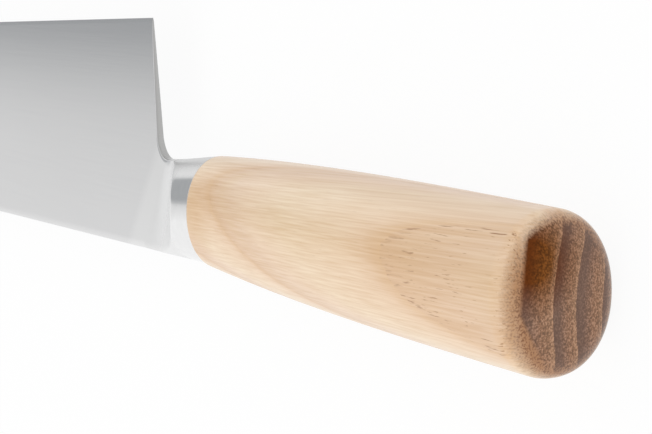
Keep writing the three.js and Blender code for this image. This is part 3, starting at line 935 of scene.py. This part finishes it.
def pale_oiled_wood():
    """Sanded, oiled ash: cream with tan arches, fine streaks of pores, and a soft satin skin."""
    wood, tree, shader, place = new_finish("pale_oiled_ash")
    grain = add_node(tree, "Mapping", {"Vector": place, "Rotation": GRAIN_LEAN}).outputs[0]
    radius, season = year_rings(tree, grain)
    fibre = grain_noise(tree, grain, FIBRE, 2)
    pore = grain_noise(tree, grain, PORE, 2)
    speck = grain_noise(tree, grain, SPECK, 1)
    face = flank_colour(tree, place, season, fibre, pore)
    colour, dull = butt_colour(tree, face, place, radius, season, speck)
    tree.links.new(colour, shader.inputs["Base Color"])
    rough = add_node(tree, "MapRange", {"Value": fibre, 3: RUBBED[0], 4: RUBBED[1]}).outputs[0]
    tree.links.new(rough, shader.inputs["Roughness"])
    height = add_node(tree, "Math", {
        0: pore, 1: PORE_SINK, 2: fibre,
    }, operation="MULTIPLY_ADD").outputs[0]
    bump = add_node(tree, "Bump", {"Height": height, "Strength": RELIEF, "Distance": SANDED})
    tree.links.new(bump.outputs[0], shader.inputs["Normal"])
    coat = add_node(tree, "MapRange", {"Value": dull, 3: COAT, 4: 0}).outputs[0]
    tree.links.new(coat, shader.inputs["Coat Weight"])
    shader.inputs["Coat Roughness"].default_value = COAT_ROUGH
    shader.inputs["Specular IOR Level"].default_value = BARE_GLOSS
    return wood


handle.data.materials.append(pale_oiled_wood())
print("wood with", len(handle.data.materials[0].node_tree.nodes), "nodes")

# %% [markdown]
# ## Satin steel
# The blade is stainless steel, ground on fine belts that run along it, which leaves a satin skin with
# hairlines. Anisotropy could stretch its reflections, but at this size the eye only sees the lines
# themselves, so a noise drawn out along the blade varies tone and roughness. Two places differ: choil
# and fillet are ground coarser and carry painted shade, a darker tone on the faces that look back
# towards the handle, and next to the bolster the buffing wheel has run on over the blade.

# %% Make the satin steel
HAIRLINE, HAIR_LENGTH = 0.16, 45  # millimetres, drawn coarser than real ones so that they show
SATIN_LEVELS, SATIN = (0.3, 0.7), (0.12, 0.15)  # levels of the hairlines, and their roughness
CHOIL_WAY = Vector((-0.8, -0.6, 0))  # the way that choil and fillet face, from the handle's side
CHOIL_FACING = 0.35, 0.75  # how nearly a face looks that way: first trace, full tone
# painted shade: the choil's darker tone; its coarser grinding gives the roughness
CHOIL_SHADE_TONE, CHOIL_ROUGH = "#B6B6B5", 0.35
BUFFED_PAST = 5.5, 2.5  # millimetres past the ramp that the buffing reaches: first trace, full tone
BUFFED_TONE = "#E4E4E4"


def past_ramp(tree, grid):
    """How many millimetres a place lies past the line where the bolster's ramp ends on the blade."""
    ramp_end = Vector((RAMP_END_EDGE, neck_y(RAMP_END_EDGE), 0))
    along_end = Vector((RAMP_END_SPINE, spine_y(RAMP_END_SPINE), 0)) - ramp_end
    to_blade = along_end.cross(Vector((0, 0, 1))).normalized()
    reach = to_blade.dot(ramp_end) / MM
    place = add_node(tree, "VectorMath", {0: grid, 1: to_blade}, operation="DOT_PRODUCT")
    return add_node(tree, "Math", {0: place.outputs["Value"], 1: reach}, operation="SUBTRACT").outputs[0]


def satin_steel():
    """Belt-ground stainless: pale grey, softly bright, faint hairlines, a coarser choil with painted
    shade.
    """
    steel, tree, shader, grid = new_finish("satin_stainless")
    per_line = 1 / HAIR_LENGTH, 1 / HAIRLINE, 1 / HAIRLINE
    lines = add_node(tree, "Mapping", {"Vector": grid, "Scale": per_line}).outputs[0]
    hair = add_node(tree, "TexNoise", {
        "Vector": lines, "Scale": 1, "Detail": 3, "Roughness": 0.6,
    }).outputs[0]
    tone = add_node(tree, "ValToRGB", {"Fac": hair}, stops=[
        (0.25, "#DADADB"), (0.75, "#DFDFDF"),
    ]).outputs[0]
    near = add_node(tree, "MapRange", {
        "Value": past_ramp(tree, grid), 1: BUFFED_PAST[0], 2: BUFFED_PAST[1],
    }).outputs[0]
    tone = add_node(tree, "Mix", {0: near, 6: tone, 7: linear(BUFFED_TONE)}, data_type="RGBA").outputs[2]
    normal = add_node(tree, "TexCoord").outputs["Normal"]
    facing = add_node(tree, "VectorMath", {0: normal, 1: CHOIL_WAY}, operation="DOT_PRODUCT")
    choil = add_node(tree, "MapRange", {
        "Value": facing.outputs["Value"], 1: CHOIL_FACING[0], 2: CHOIL_FACING[1],
    }).outputs[0]
    # choil and fillet: painted shade darkens the tone, and coarser grinding raises the roughness
    tone = add_node(tree, "Mix", {0: choil, 6: tone, 7: linear(CHOIL_SHADE_TONE)}, data_type="RGBA").outputs[2]
    tree.links.new(tone, shader.inputs["Base Color"])
    rough = add_node(tree, "MapRange", {
        "Value": hair, 1: SATIN_LEVELS[0], 2: SATIN_LEVELS[1], 3: SATIN[0], 4: SATIN[1],
    }).outputs[0]
    rough = add_node(tree, "Mix", {0: choil, 2: rough, 3: CHOIL_ROUGH}).outputs[0]
    tree.links.new(rough, shader.inputs["Roughness"])
    shader.inputs["Metallic"].default_value = 1
    return steel


blade.data.materials.append(satin_steel())
print("blade in", blade.data.materials[0].name)

# %% [markdown]
# ## Buffed steel
# The collar is buffed until it mirrors the studio, and the ramp blends that polish into the satin of the
# blade, so that the weld can't be seen. The wheel can't reach the neck's edge side, which stays as
# ground, and its darker tone there is painted shade. Three materials on three sets of faces would show
# seams, so one material blends its tone and roughness by place and by the way that a face looks.

# %% Make the buffed steel
BLEND = 12  # millimetres over which the bolster's polish turns satin
SWIRLS = 0.6  # faint clouds that buffing leaves, to a millimetre
WHEEL_FROM = 8, 10  # millimetres from the joint: the collar's mirror ends, the ramp's grind starts
MIRROR, GROUND, RAMP_SATIN = 0.09, 0.3, 0.135  # roughness of the collar, the ramp and its end
NECK_FACING = -0.45, -0.8  # how nearly a face looks towards the edge: first trace, full tone
# painted shade on the neck's edge side
NECK_SHADE_TONE = "#CECECE"


def buffed_steel():
    """Buffed stainless: a mirror on the collar that turns satin where the ramp meets the blade."""
    steel, tree, shader, grid = new_finish("buffed_stainless")
    satin = add_node(tree, "MapRange", {"Value": past_ramp(tree, grid), 1: -BLEND, 2: 0}).outputs[0]
    swirl = add_node(tree, "TexNoise", {"Vector": grid, "Scale": SWIRLS, "Detail": 3}).outputs[0]
    tone = add_node(tree, "ValToRGB", {"Fac": swirl}, stops=[
        (0.3, "#E8E8E8"), (0.7, "#ECECEC"),
    ]).outputs[0]
    tone = add_node(tree, "Mix", {0: satin, 6: tone, 7: linear(BUFFED_TONE)}, data_type="RGBA").outputs[2]
    facing = add_node(tree, "SeparateXYZ", {0: add_node(tree, "TexCoord").outputs["Normal"]}).outputs[1]
    neck = add_node(tree, "MapRange", {"Value": facing, 1: NECK_FACING[0], 2: NECK_FACING[1]}).outputs[0]
    # the neck's edge side: ground, and darkened by painted shade
    tone = add_node(tree, "Mix", {0: neck, 6: tone, 7: linear(NECK_SHADE_TONE)}, data_type="RGBA").outputs[2]
    tree.links.new(tone, shader.inputs["Base Color"])
    along = add_node(tree, "SeparateXYZ", {0: grid}).outputs[0]
    wheel = add_node(tree, "MapRange", {
        "Value": along, 1: WHEEL_FROM[0], 2: WHEEL_FROM[1], 3: MIRROR, 4: GROUND,
    }).outputs[0]
    polish = add_node(tree, "Mix", {0: satin, 2: wheel, 3: RAMP_SATIN}).outputs[0]
    polish = add_node(tree, "Mix", {0: neck, 2: polish, 3: GROUND}).outputs[0]
    tree.links.new(polish, shader.inputs["Roughness"])
    shader.inputs["Metallic"].default_value = 1
    return steel


bolster.data.materials.append(buffed_steel())
print("bolster in", bolster.data.materials[0].name)

# %% [markdown]
# ## The glue in the bore
# The epoxy round the tang is hidden between wood and steel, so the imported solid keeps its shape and
# only gets a finish: clear amber with a few bubbles, for anyone who takes the knife apart.

# %% Finish the glue
BUBBLE = 1.2  # millimetres between bubbles
PIT_DEPTH, PIT_RELIEF = 0.1 * MM, 0.3  # and how much of that depth shows
CURED_ROUGH = 0.2


def amber_epoxy():
    """Cured epoxy: honey coloured and glossy, with tiny pits where bubbles were."""
    epoxy, tree, shader, grid = new_finish("cured_epoxy")
    pits = add_node(tree, "TexVoronoi", {"Vector": grid, "Scale": 1 / BUBBLE}).outputs["Distance"]
    tone = add_node(tree, "ValToRGB", {"Fac": pits}, stops=[(0.05, "#8F6A32"), (0.3, "#C9A566")])
    tree.links.new(tone.outputs[0], shader.inputs["Base Color"])
    shader.inputs["Roughness"].default_value = CURED_ROUGH
    bump = add_node(tree, "Bump", {"Height": pits, "Strength": PIT_RELIEF, "Distance": PIT_DEPTH})
    tree.links.new(bump.outputs[0], shader.inputs["Normal"])
    return epoxy


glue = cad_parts["tang_adhesive"]
glue.data.materials.clear()
glue.data.materials.append(amber_epoxy())
print("glue keeps its packed shape,", len(glue.data.polygons), "faces")

# %% [markdown]
# ## A white tent
# Product pictures of steel are made in a tent of white paper, with a grey gap that draws a dark shape
# into the polish. Here the world is that tent: its colour goes by the direction of sight. Only
# reflections see the paper's soft folds, and the camera and clear things see plain white.

# %% Light the tent
TENT_GAP = "#AFB1B3"
TENT_GAP_SIDES = [  # axis of sight, and where the gap's fade starts and ends on it
    (0, 0.5, 0.7),
    (1, 0.078, -0.012),
    (1, -0.25, -0.22),
    (2, 0.07, 0.16),
]
AHEAD = 0.2, 0.7  # towards the tip, where white paper gives way to greyish paper
HIGH, LOW_SHARE = (0.16, 0.34), 0.3  # upwards, where its grey is full, and its share below that
GREY_WAY = Vector((0, 1, 0.27))  # the way in which the paper ahead turns from grey to white
GREY_RANGE = -0.907, 1.093  # places on that way at which its tones start and end
FOLDS = 2.6  # soft folds of the paper to a unit of direction
FOLD_LEVELS, FOLD_LIGHT = (0.3, 0.7), (0.6, 1)  # levels of the folds, and their brightness
WHITE = linear("#FFFFFF")


def tent_paper(tree, sight, way, path):
    """White paper with soft folds for reflections, and greyish paper ahead of the tip."""
    ahead = add_node(tree, "MapRange", {
        "Value": way[0], 1: AHEAD[0], 2: AHEAD[1],
    }, interpolation_type="SMOOTHSTEP").outputs[0]
    folds = add_node(tree, "TexNoise", {"Vector": sight, "Scale": FOLDS, "Detail": 0}).outputs[0]
    bright = add_node(tree, "MapRange", {
        "Value": folds, 1: FOLD_LEVELS[0], 2: FOLD_LEVELS[1], 3: FOLD_LIGHT[0], 4: FOLD_LIGHT[1],
    }).outputs[0]
    bright = add_node(tree, "Mix", {0: ahead, 2: bright, 3: 1}).outputs[0]
    bright = add_node(tree, "Mix", {0: path["Is Glossy Ray"], 2: 1, 3: bright}).outputs[0]
    high = add_node(tree, "MapRange", {"Value": way[2], 1: HIGH[0], 2: HIGH[1], 3: LOW_SHARE}).outputs[0]
    ahead = add_node(tree, "Math", {0: ahead, 1: high}, operation="MULTIPLY").outputs[0]
    along = add_node(tree, "VectorMath", {0: sight, 1: GREY_WAY}, operation="DOT_PRODUCT").outputs["Value"]
    along = add_node(tree, "MapRange", {"Value": along, 1: GREY_RANGE[0], 2: GREY_RANGE[1]}).outputs[0]
    grey = add_node(tree, "ValToRGB", {"Fac": along}, stops=[
        (0, "#FFFFFF"), (1, "#FFFFFF"), (0.25, "#E0E0E0"), (0.54, "#E8E8E8"), (0.555, "#EEEEEE"),
        (0.6, "#FFFFFF"),
    ]).outputs[0]
    paper = add_node(tree, "Mix", {0: ahead, 6: WHITE, 7: grey}, data_type="RGBA").outputs[2]
    return add_node(tree, "VectorMath", {0: paper, "Scale": bright}, operation="SCALE").outputs[0]


def paper_tent():
    """White all round, a little grey ahead of the tip, with one darker gap low over the edge."""
    tent = bpy.data.worlds.new("paper_tent")
    tent.use_nodes = True
    tree = tent.node_tree
    tree.nodes.clear()
    sight = add_node(tree, "TexCoord").outputs["Generated"]
    way = add_node(tree, "SeparateXYZ", {0: sight}).outputs
    path = add_node(tree, "LightPath").outputs
    gap = 1
    for axis, outside, inside in TENT_GAP_SIDES:
        fade = {"Value": way[axis], 1: outside, 2: inside}
        side = add_node(tree, "MapRange", fade, interpolation_type="SMOOTHSTEP").outputs[0]
        gap = add_node(tree, "Math", {0: gap, 1: side}, operation="MULTIPLY").outputs[0]
    paper = add_node(tree, "Mix", {
        0: gap, 6: tent_paper(tree, sight, way, path), 7: linear(TENT_GAP),
    }, data_type="RGBA").outputs[2]
    seen = add_node(tree, "Math", {
        0: path["Is Camera Ray"], 1: path["Is Transmission Ray"],
    }, operation="MAXIMUM").outputs[0]
    light = add_node(tree, "Mix", {0: seen, 6: paper, 7: WHITE}, data_type="RGBA").outputs[2]
    background = add_node(tree, "Background", {"Color": light, "Strength": 1})
    add_node(tree, "OutputWorld", {"Surface": background.outputs[0]})
    return tent


bpy.context.scene.world = paper_tent()
print("tent with", len(bpy.context.scene.world.node_tree.nodes), "nodes")

# %% [markdown]
# ## A white floor
# The knife lies on white paper. Lit paper never comes out as white as the page around a product
# picture, and more light would bleach the knife. So the floor glows for the camera, for mirrors and for
# clear things, and the little that is left to real light keeps a soft shadow.

# %% Lay the floor
FLOOR_SIZE = 6
PAPER_TONE, PAPER_ROUGH = "#F2F2F2", 0.9
FLOOR_GLOW = 0.93  # share of the floor's white that the shadow leaves alone


def white_floor():
    """A sheet of paper that is white to the camera, but for the knife's shadow."""
    bm = bmesh.new()
    bmesh.ops.create_grid(bm, x_segments=1, y_segments=1, size=FLOOR_SIZE / 2)
    mesh = bpy.data.meshes.new("floor")
    bm.to_mesh(mesh)
    bm.free()
    paint, tree, shader, _ = new_finish("white_paper")
    shader.inputs["Base Color"].default_value = linear(PAPER_TONE)
    shader.inputs["Roughness"].default_value = PAPER_ROUGH
    path = add_node(tree, "LightPath").outputs
    seen = path["Is Camera Ray"]
    for ray in ("Is Glossy Ray", "Is Transmission Ray"):
        seen = add_node(tree, "Math", {0: seen, 1: path[ray]}, operation="MAXIMUM").outputs[0]
    share = add_node(tree, "Math", {0: seen, 1: FLOOR_GLOW}, operation="MULTIPLY").outputs[0]
    glow = add_node(tree, "Emission", {"Strength": 1})
    mix = add_node(tree, "MixShader", {0: share, 1: shader.outputs[0], 2: glow.outputs[0]})
    add_node(tree, "OutputMaterial", {"Surface": mix.outputs[0]}, is_active_output=True)
    mesh.materials.append(paint)
    floor = bpy.data.objects.new("floor", mesh)
    bpy.context.scene.collection.objects.link(floor)
    floor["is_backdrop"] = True


white_floor()
print("floor", FLOOR_SIZE, "m square")

# %% [markdown]
# ## A softbox
# The tent lights the knife evenly from all sides. One large area lamp on the spine side models the
# round of the handle and lays the shadow to the other side. It is hidden from mirrors, because in a
# reflection it would add to the paper behind it and burn out.

# %% Hang the softbox
SOFTBOX_SIZE, SOFTBOX_WATTS = 0.8, 2
SOFTBOX_AT = Vector((-0.1, 0.8, 0.75))

softbox = bpy.data.objects.new("softbox", bpy.data.lights.new("softbox", "AREA"))
softbox.data.size = SOFTBOX_SIZE
softbox.data.energy = SOFTBOX_WATTS
softbox.location = SOFTBOX_AT
softbox.rotation_euler = (AIM - SOFTBOX_AT).to_track_quat("-Z", "Y").to_euler()
softbox.visible_glossy = False
bpy.context.scene.collection.objects.link(softbox)
bpy.context.scene.view_settings.view_transform = "Standard"
print("softbox of", SOFTBOX_WATTS, "W on the spine side")

# %% [markdown]
# ## Measure the pieces
# The finished pieces must not outgrow the imported solids, so the boxes of both are printed.

# %% Print the boxes
visual_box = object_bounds()
boxes = {"cad": [list(corner) for corner in cad_box], "visual": [list(corner) for corner in visual_box]}
for name, (low, high) in boxes.items():
    print(name, "box", [round((end - start) / MM, 2) for start, end in zip(low, high)], "mm")
